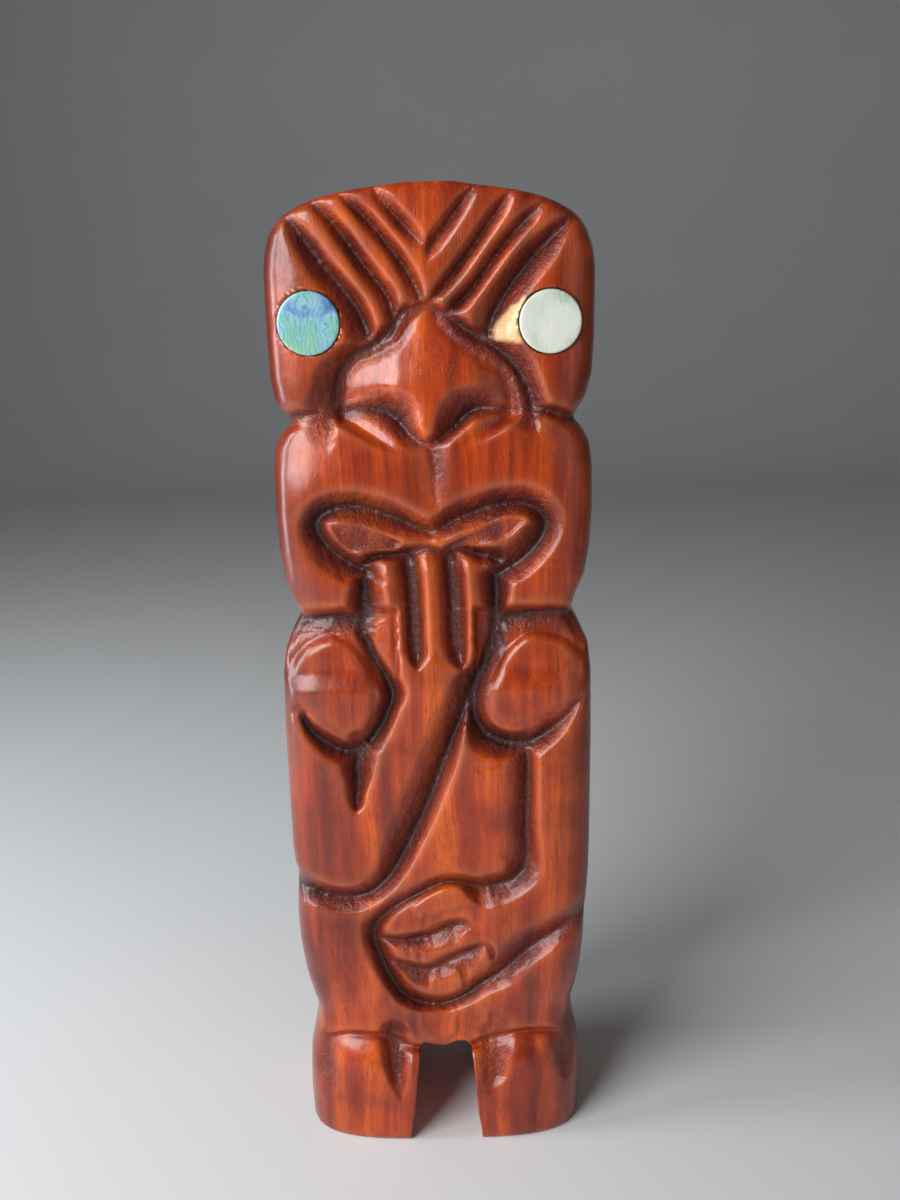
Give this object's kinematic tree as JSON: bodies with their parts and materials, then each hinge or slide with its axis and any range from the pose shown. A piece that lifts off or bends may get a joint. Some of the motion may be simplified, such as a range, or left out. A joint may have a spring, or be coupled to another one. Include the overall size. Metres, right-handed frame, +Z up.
{
  "type": "carved tiki figure",
  "caption": "Upright carved wooden tiki with one hand raised to the mouth, the other on the belly, and round shell discs as eyes; stands on its own feet.",
  "frame": {"origin": "on the floor, under the middle of the figure's bounding box", "axes": "+Z up from the soles to the crown, the carved face looks along -Y, +X is the viewer's right and the figure's left"},
  "size_m": [0.06, 0.034, 0.19],
  "materials": {
    "lacquered_wood": "red-brown stain under gloss lacquer, dark in the cuts",
    "blue_shell": "polished shell, blue to green",
    "pale_shell": "polished shell, pale green to cream"
  },
  "bodies": {
    "root": {"carved_figure": "lacquered_wood", "eye_disc_right": "blue_shell", "eye_disc_left": "pale_shell"}
  },
  "joints": []
}
